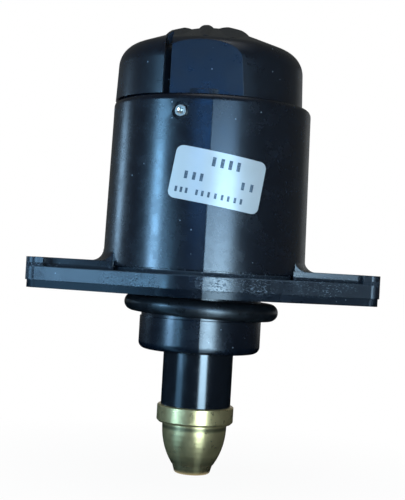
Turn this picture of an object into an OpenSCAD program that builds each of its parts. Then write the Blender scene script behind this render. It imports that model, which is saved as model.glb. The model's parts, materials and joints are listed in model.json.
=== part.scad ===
// Idle air control valve: a stepper motor in a flanged moulding drives a
// threaded spindle, which slides a plunger with a turned metal tip.
// Z is the valve axis. Z = 0 is the mounting face, +Z runs to the connector.

/* [Flange] */
// Overall length of the flange
flange_l = 65; // [62:0.5:80]
// Thickness of the flange
flange_t = 5.6; // [4.5:0.1:8]
// Slope of the long edges away from the round middle, in degrees
flange_taper = 21; // [19:0.5:23]
// Radius of the flange's end corners
flange_corner_r = 1.8; // [0.8:0.1:3]
// Width that the flange stands out beyond the body's foot
flange_lip = 0.45; // [0.3:0.05:1.5]
// Height of the set-back band along the lower edge
edge_band_h = 1.4; // [0.6:0.1:2]
// Depth of the set-back band
edge_band_in = 0.25; // [0.1:0.05:0.8]
// Depth of the ledge below the bolt lands
ledge_drop = 1.6; // [0.6:0.1:2]
// Slope of the bolt lands' side walls, in degrees
land_taper = 12; // [9:0.5:15]
// Distance of the bolt lands' side walls from the axis
land_reach = 13.4; // [12:0.1:15]
// Length of the full-height block at each end of the flange
end_block_l = 3.4; // [2:0.1:5]
// Distance between the two bolt holes
bolt_spacing = 51; // [49:0.5:53]
// Radius of the clearance hole in each bolt sleeve
bolt_hole_r = 2.75; // [2.2:0.05:3.3]
// Wall of a bolt sleeve
sleeve_wall = 1.1; // [0.6:0.05:1.5]

/* [Body] */
// Wall of the body round the motor at its top
body_wall = 2.25; // [1.6:0.05:4]
// Extra radius of the body at its foot
body_draft = 0.5; // [0.1:0.05:1]
// Rounding of the body's top rim
rim_r = 1.2; // [0.4:0.1:1.5]
// Height of the groove under the body's foot
foot_groove_h = 0.85; // [0.4:0.05:1.2]
// Depth of the groove under the body's foot
foot_groove_in = 0.9; // [0.4:0.05:1.3]
// Rounding between the body and each bolt land
land_fillet = 2.2; // [1:0.1:3]
// Step between the two halves of the moulding at the parting line
seam_step = 0.14; // [0.05:0.01:0.3]
// Wall left round the lightening pockets in the floor
pocket_wall = 2.4; // [1.6:0.1:3]
// Number of ribs across the pocket ring
pocket_ribs = 8; // [4:1:10]

/* [Nose] */
// Radius of the nose spigot
nose_r = 11.5; // [11:0.1:14]
// Length of the nose spigot below the mounting face
nose_l = 10.4; // [10:0.1:14]
// Rounding of the nose's lower edge
nose_edge_r = 1.3; // [0.5:0.1:2]
// Depth of the neck that the O-ring sits on
neck_in = 0.25; // [0.2:0.05:0.5]
// Thickness of the O-ring
oring_t = 3.3; // [1.8:0.05:3.5]
// Tilt of the O-ring, which hangs lower on one side, in degrees
oring_tilt = 1.8; // [0:0.1:2]

/* [Plunger] */
// Travel of the plunger
stroke = 8.5; // [6:0.5:9]
// Radius of the plunger
plunger_r = 6.6; // [6.2:0.1:7]
// Wall of the hollow plunger
plunger_wall = 1.7; // [1.2:0.1:2]
// Depth of the plunger's top below the mounting face, fully out
plunger_sink = 1.6; // [1:0.1:2.5]
// Length of the two guide keys
key_l = 5.9; // [4:0.1:6.5]
// Width of a guide key
key_w = 2.2; // [1.5:0.1:3]
// Height of a guide key above the plunger
key_h = 1.0; // [0.6:0.1:1.4]
// Gap left between nose and tip collar, fully in
collar_gap = 1.8; // [1:0.1:3]

/* [Tip] */
// Radius of the tip's collar
collar_r = 7.25; // [7:0.05:8]
// Height of the tip's collar
collar_h = 3.3; // [2:0.1:4]
// Length of the tip below its collar
tip_l = 9.5; // [8:0.1:12]
// Radius of the tip just below its collar
tip_r = 6.1; // [5.6:0.05:6.6]
// Radius of the tip's flat end
tip_end_r = 3.2; // [2:0.1:4]
// Length of the tip's spigot inside the plunger
spigot_l = 3.0; // [2:0.1:4]
// Radius of the tip's spigot
spigot_r = 3.4; // [2.8:0.1:4]

/* [Spindle] */
// Outer radius of the spindle's thread
thread_r = 2.0; // [1.8:0.05:2.2]
// Depth of the spindle's thread
thread_depth = 0.35; // [0.2:0.05:0.45]
// Pitch of the spindle's thread
thread_pitch = 1.0; // [0.8:0.1:1.5]
// Thickness of the spindle's head
spindle_head_h = 3.0; // [2:0.1:4]
// Length of the nut thread in the rotor
nut_l = 9; // [6:0.5:12]
// Length of the spindle beyond the nut, fully out
spindle_over = 2; // [1:0.5:3]

/* [Bearings] */
// Radius of the rotor's journals
journal_r = 3.0; // [2.8:0.05:3.4]
// Width of the ball bearing
bearing_w = 3.5; // [3:0.1:4]
// Outer radius of the ball bearing
bearing_r = 6.5; // [6.3:0.1:7]
// Radius of a bearing ball
ball_r = 1.0; // [0.8:0.05:1.1]
// Number of bearing balls
ball_count = 8; // [6:1:9]
// Outer radius of the rear bush
bush_r = 4.5; // [4.2:0.1:5]
// Thickness of the rear bush's flange
bush_flange_t = 0.8; // [0.5:0.1:1.2]
// Thickness of the thrust washer on the rotor
thrust_t = 0.6; // [0.4:0.1:1]
// Thickness of the domed preload washer
preload_t = 0.35; // [0.2:0.05:0.4]
// Dome height of the preload washer
preload_dome = 0.4; // [0.2:0.05:0.6]

/* [Motor] */
// Outer radius of the stator
motor_r = 16.2; // [15.5:0.1:18]
// Thickness of the stator's sheet steel
sheet_t = 1.0; // [0.6:0.1:1.2]
// Height of one of the two stator phases
phase_h = 10.9; // [10:0.1:14]
// Outer radius of the rotor magnet
magnet_r = 8.0; // [7.6:0.1:8.4]
// Wall of the rotor magnet
magnet_wall = 3.0; // [2.6:0.1:3.3]
// Air gap between magnet and poles
air_gap = 0.3; // [0.25:0.05:0.5]
// Number of claw poles on each plate
claw_count = 12; // [8:1:12]
// Width of a claw pole at its root
claw_root_w = 2.3; // [1.8:0.1:2.4]
// Width of a claw pole at its end
claw_end_w = 1.0; // [0.6:0.1:1.3]
// Wall of a bobbin
bobbin_wall = 0.8; // [0.5:0.1:1]
// Radial depth of a winding
winding_depth = 3.8; // [3:0.1:4.2]
// Thickness of the front end plate
front_plate_t = 1.4; // [1:0.1:2]
// Thickness of the rear end plate
rear_plate_t = 2.6; // [2.4:0.1:3.5]

/* [Connector cap] */
// Radius of the cap at its foot
cap_r = 17.7; // [17:0.1:18.1]
// Draft of the cap's wall, in degrees
cap_draft = 2.3; // [0.5:0.1:3]
// Distance that the cap sits to one side of the axis
cap_shift = 0.7; // [0:0.1:1.2]
// Height of the cap above the body's rim
cap_h = 13.9; // [12.5:0.1:16]
// Rounding of the cap's top edge
cap_round = 4.4; // [2:0.1:5]
// Radius of the level middle of the cap's top
cap_level_r = 6; // [5:0.1:8]
// Slope of the cap's top outside that, in degrees
cap_slope = 21; // [10:1:24]
// Height of the cap's plug inside the body
plug_h = 2; // [1:0.1:3]
// Length of the connector socket
socket_l = 20; // [18:0.5:21]
// Width of the connector socket
socket_w = 11.6; // [10.6:0.2:12.4]
// Corner radius of the connector socket
socket_corner_r = 2.6; // [1:0.1:4]
// Height of the hollow under the socket floor
cap_hollow_h = 1.7; // [1.4:0.1:2.4]
// Thickness of the socket floor
socket_floor_t = 1.5; // [1:0.1:2]
// Angle of the flat on the cap's front, in degrees
cap_flat_angle = 6; // [2:1:10]
// Distance of that flat from the axis
cap_flat_d = 16; // [15.8:0.05:16.4]
// Place of the raised edge left of the flat
cap_edge_x = -9; // [-10:0.1:-8]
// Width of the groove beside the raised edge
cap_groove_w = 1.2; // [0.6:0.1:2]
// Depth of that groove below the cap's round outside
cap_groove_in = 1.8; // [1.2:0.1:2.2]
// Height of the three ribs on the cap's top
rib_h = 0.6; // [0.3:0.05:1]
// Place of the left rib
rib_left_x = -6.1; // [-6.4:0.1:-5.9]
// Place of the middle rib
rib_mid_x = -1.9; // [-2.1:0.1:-1.8]
// Place of the right rib
rib_right_x = 2.3; // [2.2:0.1:2.8]
// Width of the left rib
rib_left_w = 4.4; // [3.4:0.1:4.6]
// Width of the middle rib
rib_mid_w = 2.6; // [2:0.1:2.8]
// Width of the right rib
rib_right_w = 5; // [4:0.1:5.2]
// Extra slope of the ribs, which lets them sink into the top, in degrees
rib_fade = 3; // [1:0.5:5]
// Distance of the two key ribs in the socket from its middle
socket_key_x = 6; // [5:0.5:7]
// Width of a key rib in the socket
socket_key_w = 1.4; // [1:0.1:2]
// Height of a key rib above the socket's wall
socket_key_h = 0.8; // [0.5:0.1:1]

/* [Terminals] */
// Spacing of the blades in the socket
blade_pitch = 3.8; // [3:0.1:4.2]
// Width of a blade
blade_w = 1.5; // [1:0.1:2]
// Thickness of the blades and leads
lead_t = 0.6; // [0.4:0.05:0.8]
// Width of a lead inside the motor
lead_w = 0.9; // [0.6:0.05:1]
// Spacing of the leads inside the motor
lead_pitch = 2.4; // [2:0.1:2.6]
// Depth of the blade ends below the socket's mouth
blade_sink = 3; // [2:0.1:5]

/* [Label and locking pin] */
// Width of the label along the body's surface
label_w = 16.6; // [14:0.1:20]
// Height of the label
label_h = 9.3; // [7:0.1:12]
// Corner radius of the label
label_corner_r = 1.2; // [0.5:0.1:2]
// Turn of the label round the body, in degrees
label_turn = 5; // [0:0.1:20]
// Slant of the label, in degrees
label_slant = 8.5; // [0:0.5:12]
// Height of the label's middle above the mounting face
label_z = 20.8; // [18:0.1:24]
// Radius of the locking pin
pin_r = 1; // [0.6:0.05:1.1]
// Turn of the locking pin round the body, in degrees
pin_turn = -17.4; // [-40:0.1:-15]
// Width of the ring sunk round the locking pin
pin_ring_w = 0.55; // [0.3:0.05:0.8]
// Depth of that ring
pin_ring_in = 0.35; // [0.2:0.05:0.6]

/* [Hidden] */
$fn = 96;
// Clearances: parts that are pressed or dropped together, running fits, and
// parts that pass each other.
seat_gap = 0.02;
drop_gap = 0.1;
slide_gap = 0.06;
run_gap = 0.04;
pass_gap = 0.3;
tiny = 0.01;
// Length that a cut runs on beyond the face it opens
over = 2;
big = 200;

// Plunger and tip
plunger_top_z = -plunger_sink;
collar_z = -(nose_l + collar_gap + stroke);
tip_z = collar_z - collar_h - tip_l;
guide_r = plunger_r + slide_gap;
key_z = plunger_top_z - key_l;
keyway_z = key_z - pass_gap;
plunger_bore_r = plunger_r - plunger_wall;
socket_z = collar_z + spigot_l + spindle_head_h;
web_h = 2;
edge_lead = 0.4;

// Motor stack, from the floor of the body up
retract_gap = 1.1;
floor_z = plunger_top_z + stroke + retract_gap;
bearing_lip = 0.9;
bearing_z = floor_z + bearing_lip;
bearing_mid_z = bearing_z + bearing_w / 2;
hub_z = bearing_z + bearing_w;
stator_z = floor_z + front_plate_t;
stator_mid_z = stator_z + phase_h;
rear_plate_z = stator_mid_z + phase_h;
bush_flange_z = rear_plate_z - bush_flange_t;
preload_h = preload_t + preload_dome;
hub_top_z = bush_flange_z - preload_h - thrust_t - 2 * drop_gap;
rim_z = rear_plate_z + rear_plate_t + plug_h;
cap_top_z = rim_z + cap_h;
ball_track_r = (journal_r + bearing_r) / 2;
race_gap = 0.06;
race_land = 0.6;
cage_gap = 0.16;
cage_h = 2.4;
bearing_cup_wall = 1.2;
hub_r = magnet_r - magnet_wall;
magnet_end_gap = 0.4;
claw_in_r = magnet_r + air_gap;
claw_out_r = claw_in_r + sheet_t;
bobbin_in_r = claw_out_r + 0.2;
winding_in_r = bobbin_in_r + bobbin_wall;
winding_out_r = winding_in_r + winding_depth;
bobbin_out_r = winding_out_r + 0.4;
bobbin_h = phase_h - 2 * sheet_t;
claw_l = bobbin_h - 1;
claw_pitch_angle = 360 / claw_count;

// Body and flange
cavity_r = motor_r + drop_gap;
body_top_r = cavity_r + body_wall;
body_foot_r = body_top_r + body_draft;
flange_r = body_foot_r + flange_lip;
ledge_z = flange_t - ledge_drop;
foot_z = ledge_z + foot_groove_h;
sleeve_r = bolt_hole_r + sleeve_wall;
pocket_in_r = guide_r + key_h + pocket_wall;
pocket_out_r = cavity_r - 0.6;
pocket_z = pocket_wall;
rib_t = 1.4;

// Terminals and connector
cap_x = -cap_shift;
hollow_z = rim_z + cap_hollow_h;
socket_floor_z = hollow_z + socket_floor_t;
blade_top_z = cap_top_z - blade_sink;
lead_y = motor_r - 0.95;
run_z = rim_z + 0.5;
slot_w = 4 * lead_pitch + 0.6;
block_h = 3;
plug_wall = 0.8;

// Label and pin
label_t = 0.12;
label_gap = 0.04;
pin_z = rear_plate_z + rear_plate_t / 2;
pin_depth = 1.4;
neck_r = nose_r - neck_in;
oring_mid_r = neck_r + 0.05 + oring_t / 2;
oring_drop = oring_mid_r * sin(oring_tilt) + 0.04;
oring_z = -oring_t / 2 - oring_drop;
neck_l = oring_t + 2 * oring_drop + slide_gap;

// Radius of the body's outside at a height above the mounting face
function body_r_at(z) =
    body_foot_r - body_draft * (z - foot_z) / (rim_z - foot_z);

// Half width of the flange's tapered edge at a distance along it
function taper_y(reach, slope, x) = (reach - x * sin(slope)) / cos(slope);

module tube(outer_r, inner_r, h) {
    difference() {
        cylinder(r = outer_r, h = h);
        translate([0, 0, -tiny]) cylinder(r = inner_r, h = h + 2 * tiny);
    }
}

module round_rect(l, w, r) {
    square([l - 2 * r, w], center = true);
    square([l, w - 2 * r], center = true);
    for (x = [-1, 1], y = [-1, 1])
        translate([x * (l / 2 - r), y * (w / 2 - r)]) circle(r = r);
}

// A disc's half section with a rounded upper outer edge
module round_top_section(r, h, round_r) {
    square([r - round_r, h]);
    square([r, h - round_r]);
    translate([r - round_r, h - round_r]) circle(r = round_r);
}

// Plan of the flange, smaller all round by inset
module flange_plan(inset) {
    r = flange_r - inset;
    x_tip = flange_l / 2 - inset;
    corner = flange_corner_r;
    reach = r - 0.05;
    x_in = r * sin(flange_taper);
    x_corner = x_tip - corner;
    y_corner = taper_y(reach, flange_taper, x_corner);
    y_tip = y_corner - corner;
    circle(r = r);
    for (side = [0, 1]) mirror([side, 0]) {
        polygon([
            [0, -taper_y(reach, flange_taper, x_in)],
            [x_in, -taper_y(reach, flange_taper, x_in)],
            [x_corner, -y_corner],
            [x_corner, y_corner],
            [x_in, taper_y(reach, flange_taper, x_in)],
            [0, taper_y(reach, flange_taper, x_in)]
        ]);
        translate([0, -y_tip]) square([x_tip, 2 * y_tip]);
        for (y = [-1, 1]) translate([x_corner, y * y_tip]) circle(r = corner);
    }
}

// Plan of a raised bolt land and the full-width block at its end
module land_plan() {
    x_block = flange_l / 2 - end_block_l;
    y_block = taper_y(land_reach, land_taper, x_block);
    y_root = taper_y(land_reach, land_taper, cavity_r);
    polygon([
        [cavity_r, -y_root], [x_block, -y_block],
        [x_block, y_block], [cavity_r, y_root]
    ]);
    intersection() {
        flange_plan(0);
        translate([x_block, -flange_r]) square([end_block_l, 2 * flange_r]);
    }
}

// Rounded foot between the body and a bolt land
module land_foot() {
    y_root = taper_y(land_reach, land_taper, body_foot_r);
    intersection() {
        translate([cavity_r, -y_root, flange_t - tiny])
            cube([big, 2 * y_root, land_fillet]);
        rotate_extrude() difference() {
            translate([cavity_r, flange_t - tiny])
                square([body_foot_r + land_fillet - cavity_r, land_fillet]);
            translate([body_foot_r + land_fillet, flange_t + land_fillet])
                circle(r = land_fillet);
        }
    }
}

module flange() {
    linear_extrude(edge_band_h) flange_plan(edge_band_in);
    translate([0, 0, edge_band_h])
        linear_extrude(ledge_z - edge_band_h) flange_plan(0);
    for (side = [0, 1]) mirror([side, 0, 0]) {
        translate([0, 0, ledge_z - tiny])
            linear_extrude(ledge_drop + tiny) land_plan();
        land_foot();
    }
}

// Outside of the body, grown by the parting-line step on one half
module body_skin(grow) {
    top_r = body_top_r + grow;
    foot_r = body_foot_r + grow;
    rotate_extrude() union() {
        polygon([
            [0, foot_z], [foot_r, foot_z],
            [top_r, rim_z - rim_r], [0, rim_z - rim_r]
        ]);
        translate([0, rim_z - rim_r - tiny])
            round_top_section(top_r, rim_r + tiny, rim_r);
    }
}

module body_outside() {
    body_skin(0);
    intersection() {
        body_skin(seam_step);
        translate([0, -big / 2, 0]) cube(big);
    }
    translate([0, 0, ledge_z - tiny])
        cylinder(r = body_foot_r - foot_groove_in, h = foot_groove_h + 2 * tiny);
}

// Spigot below the flange, with a shallow neck for the O-ring
module nose() {
    rotate([180, 0, 0]) rotate_extrude() {
        square([neck_r, nose_l / 2]);
        translate([0, neck_l])
            round_top_section(nose_r, nose_l - neck_l, nose_edge_r);
    }
}

// Lightening pockets between the guide and the body wall
module floor_pockets() {
    difference() {
        translate([0, 0, pocket_z])
            tube(pocket_out_r, pocket_in_r, floor_z - pocket_z + tiny);
        for (i = [0 : pocket_ribs - 1]) rotate([0, 0, (i + 0.5) * 360 / pocket_ribs])
            translate([0, -rib_t / 2, 0]) cube([big, rib_t, floor_z + 1]);
    }
}

// Bore that the plunger slides in, with a keyway on each side
module guide_bore() {
    translate([0, 0, -nose_l - tiny])
        cylinder(r = guide_r, h = nose_l + floor_z + 2 * tiny);
    for (side = [0, 180]) rotate([0, 0, side])
        translate([0, -key_w / 2 - slide_gap, keyway_z])
            cube([guide_r + key_h + slide_gap, key_w + 2 * slide_gap, floor_z - keyway_z + 1]);
}

module place_pin() {
    rotate([0, 0, pin_turn]) translate([0, -body_r_at(pin_z), pin_z])
        rotate([-90, 0, 0]) children();
}

module pin_hole() {
    place_pin() {
        translate([0, 0, -over])
            cylinder(r = pin_r + pin_ring_w, h = over + pin_ring_in);
        cylinder(r = pin_r + seat_gap, h = body_wall + over);
    }
}

module at_bolts() {
    for (side = [-1, 1]) translate([side * bolt_spacing / 2, 0, 0]) children();
}

module housing() {
    color([0.06, 0.07, 0.09]) difference() {
        union() {
            flange();
            body_outside();
            nose();
        }
        translate([0, 0, floor_z]) cylinder(r = cavity_r, h = big);
        guide_bore();
        floor_pockets();
        at_bolts() translate([0, 0, -over])
            cylinder(r = sleeve_r + seat_gap, h = flange_t + 2 * over);
        pin_hole();
    }
}

module bolt_sleeves() {
    color([0.7, 0.71, 0.73]) at_bolts() tube(sleeve_r, bolt_hole_r, flange_t);
}

module o_ring() {
    color([0.05, 0.05, 0.06]) translate([0, 0, oring_z]) rotate([0, oring_tilt, 0])
        rotate_extrude() translate([oring_mid_r, 0]) circle(r = oring_t / 2);
}

module locking_pin() {
    head_out = 0.12;
    color([0.8, 0.81, 0.83]) place_pin() difference() {
        translate([0, 0, -head_out])
            cylinder(r = pin_r, h = head_out + body_wall + drop_gap + pin_depth - 0.1);
        translate([0, 0, -head_out - pin_r * 0.6]) sphere(r = pin_r * 0.85);
    }
}

module label_shell(lift) {
    rotate_extrude() polygon([
        [0, foot_z], [body_foot_r + lift, foot_z],
        [body_top_r + lift, rim_z], [0, rim_z]
    ]);
}

module label() {
    lift = seam_step + label_gap;
    wrap = label_w / body_r_at(label_z) / 2 * 180 / PI;
    chord = 2 * body_r_at(label_z) * sin(wrap);
    color([0.86, 0.9, 0.95]) intersection() {
        difference() {
            label_shell(lift + label_t);
            label_shell(lift);
        }
        rotate([0, 0, label_turn]) translate([0, 0, label_z])
            rotate([90, 0, 0]) rotate([0, 0, -label_slant])
                linear_extrude(big) round_rect(chord, label_h, label_corner_r);
    }
}

// Middle of the cap's edge rounding, as [distance from the axis, height]. It
// touches the drafted wall and the sloping top.
function cap_round_at(wall_r, level_r, h, round_r) =
    let (
        wall = wall_r * cos(cap_draft) - round_r,
        top = level_r * sin(cap_slope) + h * cos(cap_slope) - round_r,
        spread = cos(cap_draft + cap_slope)
    ) [
        (wall * cos(cap_slope) - top * sin(cap_draft)) / spread,
        (top * cos(cap_draft) - wall * sin(cap_slope)) / spread
    ];

// Cap outside, larger all round by grow
module cap_form(grow) {
    wall_r = cap_r + grow;
    round_r = cap_round + grow;
    h = cap_h + grow;
    mid = cap_round_at(wall_r, cap_level_r, h, round_r);
    translate([cap_x, 0, rim_z]) rotate_extrude() {
        polygon([
            [0, 0], [wall_r, 0],
            mid + round_r * [cos(cap_draft), sin(cap_draft)], mid,
            mid + round_r * [sin(cap_slope), cos(cap_slope)],
            [cap_level_r, h], [0, h]
        ]);
        translate(mid) circle(r = round_r);
    }
}

// The flat and the groove beside the raised edge on the cap's front
module cap_front_cut() {
    intersection() {
        rotate([0, 0, -cap_flat_angle]) translate([-big / 2, -big - cap_flat_d, rim_z - 1])
            cube(big);
        translate([cap_edge_x, -big, 0]) cube(big);
    }
    difference() {
        translate([cap_edge_x, -big - socket_w / 2 - over, rim_z - 1])
            cube([cap_groove_w, big, cap_h]);
        cap_form(-cap_groove_in);
    }
}

// Three arched ribs down the cap's sloping top, from the socket towards the front
module cap_ribs() {
    for (rib = [
        [rib_left_x, rib_left_w], [rib_mid_x, rib_mid_w], [rib_right_x, rib_right_w]
    ]) {
        half_w = rib[1] / 2;
        arch_r = (half_w * half_w + rib_h * rib_h) / (2 * rib_h);
        drop = (norm([rib[0] - cap_x, cap_level_r]) - cap_level_r) * tan(cap_slope);
        intersection() {
            cap_form(rib_h);
            translate([cap_x, 0, rim_z]) cylinder(r = cap_r - cap_round + over / 2, h = big);
            translate([rib[0], -cap_level_r, cap_top_z - drop])
                rotate([90 + cap_slope + rib_fade, 0, 0])
                    translate([0, rib_h - arch_r, 0]) cylinder(r = arch_r, h = cap_r);
        }
    }
}

// Two key ribs on the socket's back wall
module socket_keys() {
    for (side = [-1, 1])
        translate([
            cap_x + side * socket_key_x - socket_key_w / 2,
            socket_w / 2 - socket_key_h, socket_floor_z
        ]) cube([socket_key_w, socket_key_h + 1, cap_top_z - over - socket_floor_z]);
}

function blade_x(i) = cap_x + (i - 1.5) * blade_pitch;
function lead_x(i) = (i - 1.5) * lead_pitch;

module connector_cap() {
    color([0.06, 0.07, 0.09]) difference() {
        union() {
            difference() {
                union() {
                    cap_form(0);
                    cap_ribs();
                }
                cap_front_cut();
            }
            translate([0, 0, rim_z - plug_h]) cylinder(r = motor_r, h = plug_h + 1);
        }
        translate([0, 0, rim_z - plug_h - 1])
            cylinder(r = motor_r - plug_wall, h = plug_h + 1 + cap_hollow_h);
        intersection() {
            lead_slot(rim_z - plug_h - 1, plug_h + 1 + cap_hollow_h);
            cylinder(r = motor_r + tiny, h = big);
        }
        difference() {
            translate([cap_x, 0, socket_floor_z]) linear_extrude(cap_h)
                round_rect(socket_l, socket_w, socket_corner_r);
            socket_keys();
        }
        for (i = [0 : 3]) translate([blade_x(i), 0, hollow_z])
            cube([blade_w + 2 * seat_gap, lead_t + 2 * seat_gap, cap_h], center = true);
    }
}

// One bent terminal: a lead up from its bobbin, a run over the end plate
// and a blade that stands in the socket
module terminal(i) {
    front = i == 0 || i == 3;
    low_z = (front ? stator_z : stator_mid_z + sheet_t) + sheet_t + 1.2;
    half_lead = lead_w / 2;
    half_blade = blade_w / 2;
    color([0.78, 0.74, 0.6]) {
        translate([lead_x(i) - half_lead, lead_y - lead_t, low_z])
            cube([lead_w, lead_t, run_z + lead_t - low_z]);
        translate([0, 0, run_z]) linear_extrude(lead_t) polygon([
            [lead_x(i) - half_lead, lead_y], [lead_x(i) + half_lead, lead_y],
            [lead_x(i) + half_lead, lead_y - lead_t],
            [blade_x(i) + half_blade, lead_t / 2],
            [blade_x(i) + half_blade, -lead_t / 2],
            [blade_x(i) - half_blade, -lead_t / 2],
            [blade_x(i) - half_blade, lead_t / 2],
            [lead_x(i) - half_lead, lead_y - lead_t]
        ]);
        translate([blade_x(i), lead_t / 2, run_z]) rotate([90, 0, 0])
            linear_extrude(lead_t) polygon([
                [-half_blade, 0], [half_blade, 0],
                [half_blade, blade_top_z - run_z - 0.8],
                [half_blade * 0.4, blade_top_z - run_z],
                [-half_blade * 0.4, blade_top_z - run_z],
                [-half_blade, blade_top_z - run_z - 0.8]
            ]);
    }
}

// Slot down the back of the motor that the leads run in
module lead_slot(z, h) {
    translate([-slot_w / 2, lead_y - lead_t - 0.35, z - tiny])
        cube([slot_w, big, h + 2 * tiny]);
}

module front_end_plate() {
    cup_r = bearing_r + bearing_cup_wall;
    color([0.6, 0.61, 0.63]) difference() {
        translate([0, 0, floor_z]) {
            cylinder(r = motor_r, h = front_plate_t);
            cylinder(r = cup_r, h = bearing_lip + bearing_w - 0.2);
        }
        translate([0, 0, bearing_z]) cylinder(r = bearing_r + seat_gap, h = bearing_w + 1);
        translate([0, 0, floor_z - 1]) cylinder(r = bearing_r - 1.6, h = bearing_lip + 2);
    }
}

module ball_track() {
    translate([0, 0, bearing_mid_z]) rotate_extrude()
        translate([ball_track_r, 0]) circle(r = ball_r + race_gap);
}

module bearing_outer_ring() {
    color([0.72, 0.73, 0.75]) difference() {
        translate([0, 0, bearing_z])
            tube(bearing_r, ball_track_r + race_land, bearing_w);
        ball_track();
    }
}

module bearing_inner_ring() {
    color([0.72, 0.73, 0.75]) difference() {
        translate([0, 0, bearing_z])
            tube(ball_track_r - race_land, journal_r + seat_gap, bearing_w);
        ball_track();
    }
}

module at_balls() {
    for (i = [0 : ball_count - 1]) rotate([0, 0, i * 360 / ball_count])
        translate([ball_track_r, 0, bearing_mid_z]) children();
}

module bearing_balls() {
    color([0.85, 0.86, 0.88]) at_balls() sphere(r = ball_r);
}

module bearing_cage() {
    color([0.75, 0.6, 0.3]) difference() {
        translate([0, 0, bearing_mid_z - cage_h / 2])
            tube(ball_track_r + race_land - cage_gap, ball_track_r - race_land + cage_gap, cage_h);
        at_balls() sphere(r = ball_r + run_gap);
    }
}

// Ring of tapered pole claws that stand up from z = 0
module claw_ring() {
    intersection() {
        tube(claw_out_r, claw_in_r, claw_l);
        for (i = [0 : claw_count - 1]) rotate([0, 0, i * claw_pitch_angle])
            translate([claw_in_r - 1, 0, 0]) rotate([90, 0, 90])
                linear_extrude(claw_out_r - claw_in_r + 2) polygon([
                    [-claw_root_w / 2, -tiny], [claw_root_w / 2, -tiny],
                    [claw_end_w / 2, claw_l], [-claw_end_w / 2, claw_l]
                ]);
    }
}

// A cup that closes one phase, its end wall at z = 0
module stator_cup() {
    color([0.5, 0.52, 0.55]) difference() {
        union() {
            tube(motor_r, claw_in_r, sheet_t);
            tube(motor_r, motor_r - sheet_t, phase_h - sheet_t);
            translate([0, 0, sheet_t - tiny]) claw_ring();
        }
        lead_slot(sheet_t, phase_h);
    }
}

// The flat plate at the open end of a cup, claws pointing into the cup
module pole_plate() {
    color([0.58, 0.6, 0.63]) rotate([0, 0, claw_pitch_angle / 2]) {
        translate([0, 0, -sheet_t]) tube(motor_r - 0.02, claw_in_r, sheet_t);
        rotate([180, 0, 0]) translate([0, 0, sheet_t - tiny]) claw_ring();
    }
}

module notched() {
    difference() {
        children();
        lead_slot(floor_z - 1, big);
    }
}

module stator_cup_front() {
    translate([0, 0, stator_z]) stator_cup();
}

module pole_plate_front() {
    notched() translate([0, 0, stator_mid_z]) pole_plate();
}

module stator_cup_rear() {
    notched() translate([0, 0, rear_plate_z]) rotate([180, 0, claw_pitch_angle / 4])
        stator_cup();
}

module pole_plate_rear() {
    notched() translate([0, 0, stator_mid_z]) rotate([180, 0, claw_pitch_angle / 4])
        pole_plate();
}

// A wound spool for one phase, with the block that holds its two leads
module bobbin(z, block_w, lead_ids) {
    color([0.85, 0.83, 0.76]) difference() {
        union() {
            translate([0, 0, z]) tube(winding_in_r, bobbin_in_r, bobbin_h);
            for (end_z = [z, z + bobbin_h - bobbin_wall])
                translate([0, 0, end_z]) tube(bobbin_out_r, bobbin_in_r, bobbin_wall);
            intersection() {
                translate([-block_w / 2, winding_out_r + 0.1, z])
                    cube([block_w, motor_r, block_h]);
                cylinder(r = motor_r - 0.05, h = big);
            }
        }
        for (i = lead_ids)
            translate([lead_x(i) - lead_w / 2 - seat_gap, lead_y - lead_t - seat_gap, z + 1.2])
                cube([lead_w + 2 * seat_gap, lead_t + 2 * seat_gap, bobbin_h]);
    }
}

module bobbin_front() {
    bobbin(stator_z + sheet_t, slot_w - 0.8, [0, 3]);
}

module bobbin_rear() {
    bobbin(stator_mid_z + sheet_t, 2 * lead_pitch - 0.4, [1, 2]);
}

module winding(z) {
    color([0.72, 0.35, 0.16]) translate([0, 0, z + bobbin_wall])
        tube(winding_out_r, winding_in_r + seat_gap, bobbin_h - 2 * bobbin_wall);
}

module winding_front() {
    winding(stator_z + sheet_t);
}

module winding_rear() {
    winding(stator_mid_z + sheet_t);
}

module rotor_magnet() {
    color([0.22, 0.22, 0.24]) translate([0, 0, hub_z + magnet_end_gap])
        tube(magnet_r, hub_r + seat_gap, hub_top_z - hub_z - 2 * magnet_end_gap);
}

module rotor_nut() {
    journal_z = bearing_z - 0.2;
    journal_top_z = rear_plate_z + rear_plate_t - 0.5;
    color([0.8, 0.66, 0.32]) difference() {
        union() {
            translate([0, 0, journal_z])
                cylinder(r = journal_r, h = journal_top_z - journal_z);
            translate([0, 0, hub_z]) cylinder(r = hub_r, h = hub_top_z - hub_z);
        }
        translate([0, 0, journal_z - 1])
            cylinder(r = thread_r + run_gap, h = journal_top_z - journal_z + 2);
        translate([0, 0, hub_z + nut_l])
            cylinder(r = thread_r + pass_gap, h = big);
    }
}

module thrust_washer() {
    color([0.55, 0.56, 0.58]) translate([0, 0, hub_top_z])
        tube(hub_r, journal_r + seat_gap, thrust_t);
}

// Domed spring washer between the thrust washer and the rear bush
module preload_washer() {
    inner_r = journal_r + pass_gap;
    z = hub_top_z + thrust_t + drop_gap;
    color([0.66, 0.67, 0.7]) rotate_extrude() polygon([
        [inner_r, z + preload_dome], [bush_r + 0.5, z],
        [bush_r + 0.5, z + preload_t], [inner_r, z + preload_dome + preload_t]
    ]);
}

module rear_bush() {
    color([0.7, 0.5, 0.3]) difference() {
        translate([0, 0, bush_flange_z]) {
            cylinder(r = bush_r, h = rear_plate_z + rear_plate_t - bush_flange_z);
            cylinder(r = bush_r + 1, h = bush_flange_t);
        }
        translate([0, 0, bush_flange_z - 1]) cylinder(r = journal_r + run_gap, h = big);
    }
}

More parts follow.
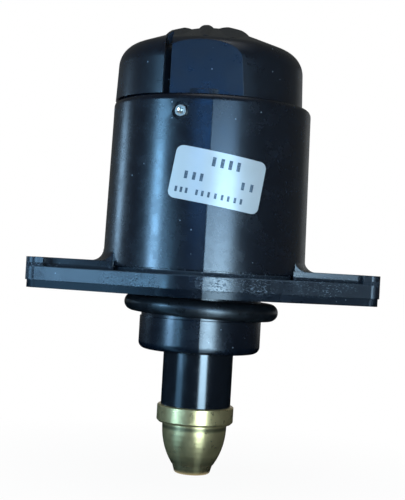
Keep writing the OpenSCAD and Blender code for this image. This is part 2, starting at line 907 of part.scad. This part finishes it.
module rear_end_plate() {
    color([0.62, 0.63, 0.65]) difference() {
        translate([0, 0, rear_plate_z]) tube(motor_r, bush_r + seat_gap, rear_plate_t);
        lead_slot(rear_plate_z, rear_plate_t);
        place_pin() cylinder(r = pin_r + seat_gap, h = body_wall + drop_gap + pin_depth);
    }
}

module plunger() {
    color([0.07, 0.08, 0.1]) difference() {
        union() {
            translate([0, 0, collar_z])
                cylinder(r = plunger_r, h = plunger_top_z - collar_z);
            for (side = [0, 180]) rotate([0, 0, side]) translate([0, -key_w / 2, key_z])
                cube([plunger_r + key_h, key_w, key_l]);
        }
        translate([0, 0, socket_z + web_h]) cylinder(r = plunger_bore_r, h = big);
        translate([0, 0, collar_z - 1])
            cylinder(r = spigot_r + seat_gap, h = socket_z - collar_z + 1);
        translate([0, 0, collar_z]) cylinder(r = thread_r + seat_gap, h = big);
    }
}

module lead_spindle() {
    head_z = collar_z + spigot_l;
    top_z = hub_z + nut_l + spindle_over;
    thread_z = socket_z + web_h + 1;
    rings = floor((top_z - thread_z) / thread_pitch);
    root_r = thread_r - thread_depth;
    color([0.68, 0.69, 0.72]) rotate_extrude() polygon(concat(
        [[0, head_z], [spigot_r, head_z], [spigot_r, socket_z], [thread_r, socket_z],
            [thread_r, thread_z]],
        [for (i = [0 : rings - 1], edge = [0, 1]) edge == 0
            ? [root_r, thread_z + (i + 0.5) * thread_pitch]
            : [thread_r, thread_z + (i + 1) * thread_pitch]],
        [[root_r, top_z], [0, top_z]]
    ));
}

// Turned tip: collar, bulging flank, short cone and flat end
module valve_tip() {
    flank_h = tip_l * 0.82;
    flank_r = tip_end_r + 0.8;
    steps = 8;
    bulge = 2.4;
    collar_low_z = collar_z - collar_h;
    color([0.78, 0.68, 0.4]) rotate_extrude() polygon(concat(
        [[0, collar_z + spigot_l], [spigot_r, collar_z + spigot_l],
            [spigot_r, collar_z], [collar_r - edge_lead / 2, collar_z],
            [collar_r, collar_z - edge_lead / 2],
            [collar_r, collar_low_z + edge_lead],
            [collar_r - edge_lead, collar_low_z]],
        [for (i = [0 : steps]) [
            flank_r + (tip_r - flank_r) * (1 - pow(i / steps, bulge)),
            collar_low_z - flank_h * i / steps
        ]],
        [[flank_r - 0.15, collar_low_z - flank_h],
            [tip_end_r + 0.2, tip_z + edge_lead / 2],
            [tip_end_r, tip_z], [0, tip_z]]
    ));
}

housing();
connector_cap();
terminal(0);  // terminal_1
terminal(1);  // terminal_2
terminal(2);  // terminal_3
terminal(3);  // terminal_4
locking_pin();
label();
o_ring();
bolt_sleeves();
front_end_plate();
bearing_outer_ring();
bearing_inner_ring();
bearing_balls();
bearing_cage();
stator_cup_front();
pole_plate_front();
stator_cup_rear();
pole_plate_rear();
bobbin_front();
bobbin_rear();
winding_front();
winding_rear();
rotor_magnet();
rotor_nut();
thrust_washer();
preload_washer();
rear_bush();
rear_end_plate();
plunger();
lead_spindle();
valve_tip();
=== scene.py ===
"""Finishes, label print, studio and camera for an idle air control valve."""
import json
import math

import bpy
from mathutils import Matrix, Vector


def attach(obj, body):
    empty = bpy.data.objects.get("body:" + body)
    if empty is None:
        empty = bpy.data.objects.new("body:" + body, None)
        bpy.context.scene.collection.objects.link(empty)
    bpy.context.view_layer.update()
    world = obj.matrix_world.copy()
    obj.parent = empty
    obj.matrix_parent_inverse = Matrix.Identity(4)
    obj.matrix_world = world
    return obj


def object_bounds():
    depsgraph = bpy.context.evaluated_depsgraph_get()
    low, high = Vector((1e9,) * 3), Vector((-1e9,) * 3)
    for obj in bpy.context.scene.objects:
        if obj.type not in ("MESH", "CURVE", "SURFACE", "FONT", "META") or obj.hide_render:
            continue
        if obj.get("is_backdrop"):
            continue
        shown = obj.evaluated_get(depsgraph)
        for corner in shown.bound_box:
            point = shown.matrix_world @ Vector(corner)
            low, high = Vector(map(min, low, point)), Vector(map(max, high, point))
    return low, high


MM = 0.001

# The photograph's view: the camera is level with the flange, close to the valve
PICTURE_H = 500
FOCAL_PX = 1100.0
SENSOR_MM = 36.0
CAMERA_DISTANCE = 209 * MM
CAMERA_SIDE = -0.35 * MM
CAMERA_HEIGHT = 6.0 * MM
AIM_HEIGHT = 8.66 * MM
CAMERA_ROLL = 3.3

FLOOR_GAP = 0.3 * MM

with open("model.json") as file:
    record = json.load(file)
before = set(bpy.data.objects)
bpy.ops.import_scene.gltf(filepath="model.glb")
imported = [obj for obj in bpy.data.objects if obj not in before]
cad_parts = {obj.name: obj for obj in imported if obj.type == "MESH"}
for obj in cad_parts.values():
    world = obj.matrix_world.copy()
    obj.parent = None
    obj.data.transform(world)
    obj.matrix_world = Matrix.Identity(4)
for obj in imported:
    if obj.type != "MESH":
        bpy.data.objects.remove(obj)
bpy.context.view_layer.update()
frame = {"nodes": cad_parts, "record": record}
nodes = frame["nodes"]


def add_node(tree, kind, inputs=None, **settings):
    """Adds a shader node, sets its options, and sets or links its inputs."""
    made = tree.nodes.new("ShaderNode" + kind)
    for key, value in settings.items():
        setattr(made, key, value)
    for key, value in (inputs or {}).items():
        if isinstance(value, bpy.types.NodeSocket):
            tree.links.new(value, made.inputs[key])
        else:
            made.inputs[key].default_value = value
    return made


def new_material(name):
    made = bpy.data.materials.new(name)
    made.use_nodes = True
    made.node_tree.nodes.clear()
    return made, made.node_tree


def finish_surface(tree, shader):
    output = add_node(tree, "OutputMaterial")
    tree.links.new(shader.outputs[0], output.inputs["Surface"])


def math_node(tree, operation, first, second=0.0):
    return add_node(tree, "Math", {0: first, 1: second}, operation=operation).outputs[0]


def place(tree):
    """Object coordinates in metres."""
    return add_node(tree, "TexCoord").outputs["Object"]


def along(tree, axis):
    """The object coordinate along one axis."""
    return add_node(tree, "SeparateXYZ", {"Vector": place(tree)}).outputs[axis]


def from_axis(tree):
    """Distance from the Z axis."""
    flat = add_node(tree, "VectorMath", {0: place(tree), 1: (1, 1, 0)}, operation="MULTIPLY")
    away = add_node(tree, "VectorMath", {0: flat.outputs[0]}, operation="LENGTH")
    return away.outputs["Value"]


def apart(tree, value, middle):
    """How far a value lies from a middle one, to either side."""
    return math_node(tree, "ABSOLUTE", math_node(tree, "SUBTRACT", value, middle))


def rings(tree, pitch):
    """Wave that rises and falls once in each pitch along the Z axis."""
    turn = math_node(tree, "MULTIPLY", along(tree, "Z"), 2 * math.pi / pitch)
    return math_node(tree, "SINE", turn)


def noise(tree, scale, detail=3.0, rough=0.55, distortion=0.0, where=None):
    """Smooth noise between 0 and 1, with scale waves to the metre."""
    return add_node(tree, "TexNoise", {
        "Vector": where or place(tree), "Scale": scale, "Detail": detail,
        "Roughness": rough, "Distortion": distortion,
    }).outputs["Fac"]


def ramp(tree, value, low, high, to_low=0.0, to_high=1.0):
    """Clamped linear map of a value."""
    return add_node(tree, "MapRange", {
        "Value": value, "From Min": low, "From Max": high,
        "To Min": to_low, "To Max": to_high,
    }, clamp=True).outputs["Result"]


def mix_colour(tree, amount, first, second):
    made = add_node(tree, "Mix", data_type="RGBA")
    for socket, value in (("Factor", amount), ("A", first), ("B", second)):
        target = [s for s in made.inputs if s.name == socket and s.enabled][0]
        if isinstance(value, bpy.types.NodeSocket):
            tree.links.new(value, target)
        else:
            target.default_value = value
    return [s for s in made.outputs if s.enabled][0]


def bump(tree, height, distance, strength=1.0, after=None):
    inputs = {"Height": height, "Distance": distance, "Strength": strength}
    if after is not None:
        inputs["Normal"] = after
    return add_node(tree, "Bump", inputs).outputs["Normal"]


def specks(tree, spacing, size, share):
    """Mask of scattered grains: one grain in some of the cells of a Voronoi pattern."""
    cells = add_node(tree, "TexVoronoi", {"Vector": place(tree), "Scale": 1 / spacing})
    spot = ramp(tree, cells.outputs["Distance"], size, size * 0.6)
    pick = add_node(tree, "SeparateColor", {"Color": cells.outputs["Color"]}).outputs[0]
    return math_node(tree, "MULTIPLY", spot, math_node(tree, "GREATER_THAN", pick, 1 - share))


def soft_edge(tree, radius):
    """Normal that rounds the sharp edges a little, so that they catch light."""
    return add_node(tree, "Bevel", {"Radius": radius * MM}, samples=4).outputs["Normal"]


PLASTIC_BLACK = (0.003, 0.005, 0.009, 1)
PLASTIC_DUSTY = (0.05, 0.066, 0.086, 1)
DUST_WHITE = (0.5, 0.57, 0.63, 1)
SPECK_SPACING = 2.2 * MM
# Tone of the painted shade that darkens the tip under its collar and towards its end
PAINTED_SHADE_TONE = (0.1, 0.09, 0.045, 1)
TURNING_PITCH = 0.16 * MM
WIRE_PITCH = 0.16 * MM

# Height of the flange's top edge, and of the set-back band along its lower edge, which
# leans in to its foot
FLANGE_TOP = 5.2 * MM
BAND_TOP = 1.4 * MM
BAND_LEAN = 0.5 * MM

# Height of the groove between the flange and the body, and how far the dirt in it lies to
# either side in full and until it has faded
GROOVE_MIDDLE = 4.2 * MM
DIRT_FULL = 0.3 * MM
DIRT_FADED = 0.5 * MM
DIRT_ROUGHNESS = 0.85

# Distances from the Z axis between which the flange grows duller
DULL_FROM = 20 * MM
DULL_TO = 31 * MM
DULL_ROUGHNESS = 0.14

# The ridge along the parting line, and how far from it that falls to about a third
RIDGE_HEIGHT = 0.2 * MM
RIDGE_REACH = 3.2 * MM


def black_plastic(name, roughness, dust, grain, edge, speck_share=0.05, base=PLASTIC_BLACK,
                  flange=False):
    """Moulded black plastic with a film of dust, bright grains and a fine skin.

    The grain is the skin's height and the edge the rounding of sharp edges, both in
    millimetres. The piece with the flange also has its scrapes, dirt, dull ends, leaning
    band and parting ridge.
    """
    made, tree = new_material(name)
    worn = scuffs(tree) if flange else 0.0
    film = math_node(tree, "ADD", dust_film(tree, dust), worn)
    colour = mix_colour(tree, film, base, PLASTIC_DUSTY)
    colour = mix_colour(tree, math_node(tree, "MULTIPLY", worn, 0.12), colour, DUST_WHITE)
    grains = math_node(tree, "MULTIPLY", specks(tree, SPECK_SPACING, 0.07, speck_share), 0.5)
    colour = mix_colour(tree, grains, colour, DUST_WHITE)
    smears = noise(tree, 260, detail=5, rough=0.7)
    rough = ramp(tree, smears, 0.3, 0.7, roughness - 0.03, roughness + 0.07)
    rough = math_node(tree, "ADD", rough, math_node(tree, "MULTIPLY", film, 0.15))
    waves = noise(tree, 90, detail=2, rough=0.5)
    normal = bump(tree, waves, 0.04 * MM, 0.35, soft_edge(tree, edge))
    normal = bump(tree, noise(tree, 2600, detail=4, rough=0.6), grain * MM, 0.5, normal)
    if flange:
        rough = math_node(tree, "ADD", rough, dull_ends(tree))
        rough = math_node(tree, "MAXIMUM", rough, foot_dirt(tree))
        normal = bump(tree, worn, 0.03 * MM, 0.6, normal)
        normal = lower_bevel(tree, normal)
        normal = parting_ridge(tree, normal)
    shader = add_node(tree, "BsdfPrincipled", {
        "Base Color": colour, "Roughness": rough, "Normal": normal,
    })
    finish_surface(tree, shader)
    return made


def dust_film(tree, dust):
    """Mask of a patchy film of dust with fine flecks in it."""
    patches = ramp(tree, noise(tree, 160, detail=6, rough=0.65), 0.5, 0.78)
    flecks = ramp(tree, noise(tree, 1400, detail=2, rough=0.6), 0.7, 0.78)
    film = math_node(tree, "MULTIPLY", patches, dust)
    return math_node(tree, "ADD", film, math_node(tree, "MULTIPLY", flecks, dust * 0.8))


def scuffs(tree):
    """Mask of fine scrapes round the flange, where screws and spanners have slipped."""
    x, y, z = add_node(tree, "SeparateXYZ", {"Vector": place(tree)}).outputs
    squeezed = add_node(tree, "CombineXYZ", {
        "X": math_node(tree, "MULTIPLY", x, 0.4), "Y": y, "Z": z,
    }).outputs[0]
    scratches = noise(tree, 4200, detail=3, rough=0.7, distortion=0.3, where=squeezed)
    marks = ramp(tree, scratches, 0.56, 0.66)
    patch = ramp(tree, noise(tree, 120, detail=2, rough=0.5), 0.42, 0.6)
    low = ramp(tree, z, FLANGE_TOP, FLANGE_TOP - 0.6 * MM)
    high = ramp(tree, z, BAND_TOP - 0.5 * MM, BAND_TOP)
    edge = math_node(tree, "MULTIPLY", low, high)
    return math_node(tree, "MULTIPLY", math_node(tree, "MULTIPLY", marks, patch), edge)


def dull_ends(tree):
    """The flange grows duller towards its ends, where it is handled and screwed down."""
    return ramp(tree, from_axis(tree), DULL_FROM, DULL_TO, 0.0, DULL_ROUGHNESS)


def foot_dirt(tree):
    """Dull dirt in the groove between the flange and the body."""
    away = apart(tree, along(tree, "Z"), GROOVE_MIDDLE)
    return ramp(tree, away, DIRT_FADED, DIRT_FULL, 0.0, DIRT_ROUGHNESS)


def lower_bevel(tree, normal):
    """The set-back band along the flange's lower edge leans inward to its foot."""
    return bump(tree, ramp(tree, along(tree, "Z"), 0, BAND_TOP), BAND_LEAN, 1.0, normal)


def parting_ridge(tree, normal):
    """The mould's halves meet in a low ridge along the plane X = 0."""
    away = math_node(tree, "ABSOLUTE", along(tree, "X"))
    away = math_node(tree, "DIVIDE", away, RIDGE_REACH)
    rise = math_node(tree, "POWER", math.e, math_node(tree, "MULTIPLY", away, -1.0))
    return bump(tree, rise, RIDGE_HEIGHT, 1.0, normal)


def rubber():
    """Black rubber with a thin film of dust."""
    made, tree = new_material("seal_rubber")
    film = ramp(tree, noise(tree, 700, detail=5, rough=0.7), 0.52, 0.8, 0.0, 0.35)
    colour = mix_colour(tree, film, (0.006, 0.0065, 0.0075, 1), (0.05, 0.055, 0.06, 1))
    shader = add_node(tree, "BsdfPrincipled", {
        "Base Color": colour, "Specular IOR Level": 0.45,
        "Roughness": ramp(tree, noise(tree, 900, detail=4), 0.3, 0.7, 0.26, 0.38),
        "Normal": bump(tree, noise(tree, 3500, detail=3), 0.03 * MM, 0.5),
    })
    finish_surface(tree, shader)
    return made


def metal(name, colour, stain, roughness, turned=0.0, stain_share=0.3, edge=0.05,
          metallic=1.0, painted_shade_bands=()):
    """Bare metal with stains; turned metal also has fine rings round the Z axis.

    Turned is the rings' height and the edge the rounding of sharp edges, in millimetres.
    A painted shade band, which darkens the metal to stand in for shade, is its height on
    the Z axis, the half widths of its full and its fading part, all in millimetres, and its
    strength.
    """
    made, tree = new_material(name)
    clouds = noise(tree, 300, detail=4, rough=0.6, distortion=0.4)
    amount = ramp(tree, clouds, 0.45, 0.8, 0.0, stain_share)
    base = mix_colour(tree, amount, (*colour, 1), (*stain, 1))
    smears = noise(tree, 700, detail=5, rough=0.65)
    rough = ramp(tree, smears, 0.3, 0.7, roughness - 0.05, roughness + 0.1)
    normal = bump(tree, noise(tree, 1800, detail=3), 0.006 * MM, 0.4, soft_edge(tree, edge))
    # Painted shade: bands of the metal darkened towards the painted shade tone
    for middle, inner, outer, share in painted_shade_bands:
        away = apart(tree, along(tree, "Z"), middle * MM)
        painted_shade = ramp(tree, away, outer * MM, inner * MM, 0.0, share)
        base = mix_colour(tree, painted_shade, base, PAINTED_SHADE_TONE)
    if turned:
        normal = bump(tree, rings(tree, TURNING_PITCH), turned * MM, 0.35, normal)
    shader = add_node(tree, "BsdfPrincipled", {
        "Base Color": base, "Metallic": metallic, "Roughness": rough, "Normal": normal,
    })
    finish_surface(tree, shader)
    return made


def paper():
    """Satin sticker, slightly yellowed in patches."""
    made, tree = new_material("label_paper")
    age = ramp(tree, noise(tree, 240, detail=4, rough=0.6), 0.45, 0.8, 0.0, 0.5)
    shader = add_node(tree, "BsdfPrincipled", {
        "Base Color": mix_colour(tree, age, (0.64, 0.62, 0.57, 1), (0.54, 0.52, 0.46, 1)),
        "Roughness": ramp(tree, noise(tree, 600, detail=3), 0.3, 0.7, 0.3, 0.4),
        "Normal": bump(tree, noise(tree, 1500, detail=4), 0.02 * MM, 0.5),
        "Coat Weight": 1.0, "Coat Roughness": 0.22,
    })
    finish_surface(tree, shader)
    return made


def ink():
    """Dark print, worn pale in places."""
    made, tree = new_material("label_ink")
    wear = ramp(tree, noise(tree, 2500, detail=3), 0.45, 0.7, 0.0, 0.5)
    shader = add_node(tree, "BsdfPrincipled", {
        "Base Color": mix_colour(tree, wear, (0.05, 0.07, 0.09, 1), (0.25, 0.3, 0.34, 1)),
        "Roughness": 0.6,
    })
    finish_surface(tree, shader)
    return made


def matte(name, colour, roughness, metallic=0.0):
    """Plain matt surface that is darker in patches."""
    made, tree = new_material(name)
    amount = ramp(tree, noise(tree, 500, detail=4), 0.4, 0.7, 0.0, 0.25)
    darker = tuple(0.6 * c for c in colour)
    shader = add_node(tree, "BsdfPrincipled", {
        "Base Color": mix_colour(tree, amount, (*colour, 1), (*darker, 1)),
        "Metallic": metallic,
        "Roughness": ramp(tree, noise(tree, 800, detail=3), 0.3, 0.7, roughness, roughness + 0.1),
    })
    finish_surface(tree, shader)
    return made


def winding_wire():
    """Copper wire wound in even turns, with painted shade in the grooves between them."""
    made, tree = new_material("winding_copper")
    turns = rings(tree, WIRE_PITCH)
    # Painted shade: the copper is darker in the grooves between the turns and lighter on their
    # crests
    copper = mix_colour(
        tree, ramp(tree, turns, -1, 1), (0.28, 0.08, 0.03, 1), (0.72, 0.3, 0.12, 1))
    shader = add_node(tree, "BsdfPrincipled", {
        "Base Color": copper, "Metallic": 1.0, "Roughness": 0.34,
        "Normal": bump(tree, turns, 0.05 * MM, 0.6),
    })
    finish_surface(tree, shader)
    return made


# Painted shade on the tip: a dark line under its collar, and darker bands above its end and on
# its end
TIP_PAINTED_SHADE = [(-24.7, 0.15, 0.55, 0.8), (-31.6, 0.4, 1.9, 0.6), (-33.5, 0.9, 1.3, 0.5)]


def make_materials():
    """Every finish under its own name."""
    steel = (0.56, 0.57, 0.6)
    return {
        "housing_plastic": black_plastic(
            "housing_plastic", roughness=0.24, dust=0.1, grain=0.004, edge=0.16,
            speck_share=0.3, flange=True),
        "cap_plastic": black_plastic(
            "cap_plastic", roughness=0.28, dust=0.14, grain=0.006, edge=0.14,
            speck_share=0.7),
        "plunger_plastic": black_plastic(
            "plunger_plastic", roughness=0.14, dust=0.1, grain=0.002, edge=0.08,
            base=(0.008, 0.009, 0.011, 1)),
        "seal_rubber": rubber(),
        "label_paper": paper(),
        "contact_metal": metal("contact_metal", (0.74, 0.69, 0.55), (0.4, 0.36, 0.3), 0.3),
        "pin_steel": metal("pin_steel", (0.6, 0.56, 0.5), (0.36, 0.34, 0.32), 0.3),
        "sleeve_steel": metal(
            "sleeve_steel", (0.58, 0.59, 0.6), (0.3, 0.29, 0.27), 0.32, turned=0.03),
        "end_plate_metal": metal("end_plate_metal", (0.6, 0.61, 0.63), (0.4, 0.4, 0.4), 0.4),
        "bearing_steel": metal(
            "bearing_steel", steel, (0.35, 0.34, 0.33), 0.16, turned=0.01),
        "bronze": metal("bronze", (0.55, 0.36, 0.18), (0.3, 0.2, 0.1), 0.36),
        "stator_steel": metal("stator_steel", (0.42, 0.43, 0.45), (0.25, 0.23, 0.2), 0.42),
        "spindle_steel": metal(
            "spindle_steel", steel, (0.32, 0.3, 0.28), 0.24, turned=0.02),
        "bobbin_plastic": matte("bobbin_plastic", (0.62, 0.6, 0.5), 0.5),
        "magnet_ferrite": matte(
            "magnet_ferrite", (0.035, 0.034, 0.036), 0.55, metallic=0.3),
        "winding_copper": winding_wire(),
        "tip_brass": metal(
            "tip_brass", (0.68, 0.5, 0.23), (0.44, 0.33, 0.14), 0.3,
            turned=0.006, stain_share=0.6, edge=0.1, metallic=0.8, painted_shade_bands=TIP_PAINTED_SHADE),
    }


def dress_nodes(materials):
    """Gives each CAD object the finish named by its slot, or a finish of its own."""
    slot_of = {row["node"]: row["material_slot"] for row in frame["record"]["subparts"]}
    finish_of = {"housing": "housing_plastic", "connector_cap": "cap_plastic"}
    for name, piece in nodes.items():
        finish = finish_of.get(name, slot_of[name])
        for slot in piece.material_slots:
            slot.material = materials[finish]
        if not piece.material_slots:
            piece.data.materials.append(materials[finish])


def make_camera():
    data = bpy.data.cameras.new("camera")
    camera = bpy.data.objects.new("camera", data)
    bpy.context.scene.collection.objects.link(camera)
    spot = Vector((CAMERA_SIDE, -CAMERA_DISTANCE, CAMERA_HEIGHT))
    aim = Vector((CAMERA_SIDE, 0, AIM_HEIGHT))
    turn = (aim - spot).to_track_quat("-Z", "Y").to_matrix().to_4x4()
    roll = Matrix.Rotation(math.radians(CAMERA_ROLL), 4, "Z")
    camera.matrix_world = Matrix.Translation(spot) @ turn @ roll
    data.sensor_width = SENSOR_MM
    data.lens = FOCAL_PX * SENSOR_MM / PICTURE_H
    data.clip_start = 10 * MM
    data.clip_end = 20
    bpy.context.scene.camera = camera


def around(azimuth, elevation, radius, centre):
    """A point round the object; azimuth 0 is the camera's side, positive to its right."""
    a = math.radians(azimuth)
    e = math.radians(elevation)
    side = Vector((math.sin(a) * math.cos(e), -math.cos(a) * math.cos(e), math.sin(e)))
    return centre + radius * side


def soft_light(name, azimuth, elevation, width, height, radiance, colour):
    """A rectangular light that faces the valve."""
    centre = Vector((0, 0, LIGHT_AIM_HEIGHT))
    data = bpy.data.lights.new(name, "AREA")
    data.shape = "RECTANGLE"
    data.size = width
    data.size_y = height
    data.energy = radiance * math.pi * width * height
    data.color = colour
    light = bpy.data.objects.new(name, data)
    bpy.context.scene.collection.objects.link(light)
    light.location = around(azimuth, elevation, LIGHT_DISTANCE, centre)
    light.rotation_euler = (centre - light.location).to_track_quat("-Z", "Y").to_euler()


LIGHT_DISTANCE = 0.42
LIGHT_AIM_HEIGHT = 6 * MM
LEFT_WINDOW = -58
RIGHT_WINDOW = 19
BLUE_LIGHT = (0.25, 0.6, 1.0)
MILD_LIGHT = (0.33, 0.63, 1.0)
PALE_LIGHT = (0.5, 0.77, 1.0)
DEEP_LIGHT = (0.25, 0.55, 1.0)

# Name, azimuth and elevation in degrees, width and height in metres, radiance, colour
LIGHTS = [
    ("left_window", LEFT_WINDOW, -0.2, 0.07, 0.068, 38.0, MILD_LIGHT),
    ("left_window_top", LEFT_WINDOW, 8, 0.06, 0.06, 42.0, BLUE_LIGHT),
    ("left_glint", -42.5, -1.5, 0.035, 0.02, 60.0, BLUE_LIGHT),
    ("right_window", RIGHT_WINDOW, -1, 0.16, 0.08, 20.5, PALE_LIGHT),
    ("right_window_low", RIGHT_WINDOW, -7, 0.16, 0.04, 20.0, (0.75, 0.9, 1.0)),
    ("right_window_top", RIGHT_WINDOW, 8, 0.16, 0.06, 10.0, DEEP_LIGHT),
    ("cap_glow", -13, 10.5, 0.1, 0.035, 8.0, (0.05, 0.32, 1.0)),
    ("left_rim", -115.5, 6, 0.065, 0.085, 9.5, (0.41, 0.69, 1.0)),
    ("top_fill", 20, 78, 0.3, 0.3, 0.6, (0.9, 0.95, 1.0)),
    ("back_window", 180, 0, 0.1, 0.12, 0.8, (0.95, 0.98, 1.0)),
    ("right_back", 150, 5, 0.2, 0.2, 0.2, (0.9, 0.95, 1.0)),
]


def make_lights():
    for light in LIGHTS:
        soft_light(*light)


# How bright the world is to the eye and to mirrored rays, and as plain light
SKY_SHOWN = 1.0
SKY_LIGHT = 0.15


def make_world():
    """White for what is seen or mirrored past the studio, plain grey light otherwise."""
    world = bpy.data.worlds.new("world")
    bpy.context.scene.world = world
    world.use_nodes = True
    tree = world.node_tree
    tree.nodes.clear()
    shown = shown_ray(tree)
    strength = ramp(tree, shown, 0, 1, SKY_LIGHT, SKY_SHOWN)
    sky = add_node(tree, "Background", {"Color": (1, 1, 1, 1), "Strength": strength})
    output = add_node(tree, "OutputWorld")
    tree.links.new(sky.outputs[0], output.inputs["Surface"])


def shown_ray(tree):
    """1 for rays from the camera and for mirrored or refracted ones."""
    path = add_node(tree, "LightPath").outputs
    seen = math_node(tree, "MAXIMUM", path["Is Camera Ray"], path["Is Glossy Ray"])
    return math_node(tree, "MAXIMUM", seen, path["Is Transmission Ray"])


def mesh_object(name, points, faces):
    mesh = bpy.data.meshes.new(name)
    mesh.from_pydata(points, [], faces)
    mesh.update()
    made = bpy.data.objects.new(name, mesh)
    bpy.context.scene.collection.objects.link(made)
    return made


# Half the floor's width, and the distances from the valve between which the floor's
# plain white grows from its share at the tip to all of what is seen
FLOOR_REACH = 4.0
WHITE_FROM = 10 * MM
WHITE_TO = 70 * MM
WHITE_SHARE = 0.95


def make_floor():
    """Pale floor under the tip: mostly plain white to the eye, with the valve's shadow."""
    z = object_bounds()[0][2] - FLOOR_GAP
    signs = ((-1, -1), (1, -1), (1, 1), (-1, 1))
    corners = [(x * FLOOR_REACH, y * FLOOR_REACH, z) for x, y in signs]
    floor = mesh_object("floor", corners, [(0, 1, 2, 3)])
    made, tree = new_material("floor")
    pale = add_node(tree, "BsdfDiffuse", {"Color": (0.82, 0.82, 0.82, 1)})
    white = add_node(tree, "Emission", {"Color": (1, 1, 1, 1), "Strength": 1.0})
    plain = ramp(tree, from_axis(tree), WHITE_FROM, WHITE_TO, WHITE_SHARE, 1.0)
    share = math_node(tree, "MULTIPLY", shown_ray(tree), plain)
    both = add_node(tree, "MixShader", {0: share, 1: pale.outputs[0], 2: white.outputs[0]})
    finish_surface(tree, both)
    floor.data.materials.append(made)
    floor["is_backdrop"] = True


def card(name, points, faces, shader_of):
    """A studio card: gloss and metal mirror it, and nothing else meets it."""
    made, tree = new_material(name)
    finish_surface(tree, shader_of(tree))
    piece = mesh_object(name, points, faces)
    piece.data.materials.append(made)
    piece.visible_camera = False
    piece.visible_diffuse = False
    piece.visible_shadow = False
    piece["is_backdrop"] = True


def dim_room(tree):
    """The dark room round the studio, as the sides of the valve mirror it."""
    return add_node(tree, "Emission", {"Color": (0.1, 0.105, 0.1, 1), "Strength": 1.0})


# Half the angle that a window's shine spans, in degrees, and the share of that over
# which it fades to either side of its edge
SHINE_HALF_WIDTH = 11
SHINE_FADE = 0.2

# Distances from the Z axis between which the shine grows from near to far, and between
# which it comes out of the valve's own shade
SHINE_NEAR = 35 * MM
SHINE_FAR = 120 * MM
SHADE_FROM = 11 * MM
SHADE_TO = 19 * MM
SHADE_SHARE = 0.1

# Azimuth, strength near and far from the valve, and colour
SHINES = [
    (LEFT_WINDOW, 1.2, 3.0, BLUE_LIGHT),
    (RIGHT_WINDOW, 4.0, 24.0, PALE_LIGHT),
]


def window_shine(tree):
    """Black ground with the two windows' shine on it, weaker close to the valve."""
    ahead = math_node(tree, "MULTIPLY", along(tree, "Y"), -1.0)
    turned = math_node(tree, "ARCTAN2", along(tree, "X"), ahead)
    away = from_axis(tree)
    shade = ramp(tree, away, SHADE_FROM, SHADE_TO, SHADE_SHARE)
    half_width = math.radians(SHINE_HALF_WIDTH)
    shine = (0, 0, 0)
    for middle, near, far, colour in SHINES:
        off = apart(tree, turned, math.radians(middle))
        band = ramp(tree, off, half_width * (1 + SHINE_FADE), half_width * (1 - SHINE_FADE))
        level = ramp(tree, away, SHINE_NEAR, SHINE_FAR, near, far)
        level = math_node(tree, "MULTIPLY", level, shade)
        band = math_node(tree, "MULTIPLY", band, level)
        lit = add_node(tree, "VectorMath", {0: colour, "Scale": band}, operation="SCALE")
        both = add_node(tree, "VectorMath", {0: lit.outputs[0], 1: shine}, operation="ADD")
        shine = both.outputs[0]
    return add_node(tree, "Emission", {"Color": shine, "Strength": 1.0})


def make_cards():
    """Dim cards round the sides, and the ground under them as gloss sees it.

    Each edge of a ring is its distance from the Z axis and its height.
    """
    step = 10
    sides = [around(angle, 0, 1, Vector()) for angle in range(-180, 180 + step, step)]
    strips = [(i, i + 2, i + 3, i + 1) for i in range(0, 2 * len(sides) - 2, 2)]
    ground_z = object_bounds()[0][2] - 0.5 * FLOOR_GAP
    low = (0.6, -0.45)
    high = (0.2, 0.9)
    near = (0.004, ground_z)
    far = (0.6, ground_z)

    def ring(inner, outer):
        return [(r * side.x, r * side.y, z) for side in sides for r, z in (inner, outer)]

    card("side_cards", ring(low, high), strips, dim_room)
    card("ground_card", ring(near, far), strips, window_shine)


# The label on the body's front, in degrees and millimetres; the ink lies just on it
LABEL_TURN = 5.0
LABEL_SLANT = 8.5
LABEL_HEIGHT = 20.8
LABEL_RADIUS = 19.092
LABEL_DRAFT = 0.0162
INK_LIFT = 0.012

# A row is its height on the label, and its marks' height, width and places across
INK_ROWS = [
    (2.8, 1.6, 0.62, [-1.3, 0.2, 1.65, 3.1]),
    (-0.3, 1.35, 0.55, [-5.6, -4.2, -2.9, 4.5, 6.1]),
    (-3.0, 0.95, 0.42, [-6.8, -5.9, -5.0, -3.2, -2.2, -1.1, 0.1, 1.3, 2.4, 3.6, 4.7]),
]


def label_point(u, v):
    """A point on the label's face; u runs to its right and v up it, in millimetres."""
    slant = math.radians(LABEL_SLANT)
    across = u * math.cos(slant) + v * math.sin(slant)
    up = v * math.cos(slant) - u * math.sin(slant)
    radius = LABEL_RADIUS - LABEL_DRAFT * up + INK_LIFT
    flat = Vector((across, -math.sqrt(radius ** 2 - across ** 2), LABEL_HEIGHT + up))
    return Matrix.Rotation(math.radians(LABEL_TURN), 4, "Z") @ flat * MM


def print_label(material):
    for number, (v, height, width, places) in enumerate(INK_ROWS, 1):
        points = []
        faces = []
        for u in places:
            first = len(points)
            for side_v in (v - height / 2, v + height / 2):
                points += [label_point(u + side * width / 2, side_v) for side in (-1, 0, 1)]
            faces += [(first + i, first + i + 1, first + i + 4, first + i + 3) for i in (0, 1)]
        row = mesh_object(f"label_row_{number}", points, faces)
        row.data.materials.append(material)
        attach(row, "valve_body")


make_camera()
dress_nodes(make_materials())
print_label(ink())
make_world()
make_lights()
make_floor()
make_cards()
bpy.context.scene.view_settings.view_transform = "Standard"
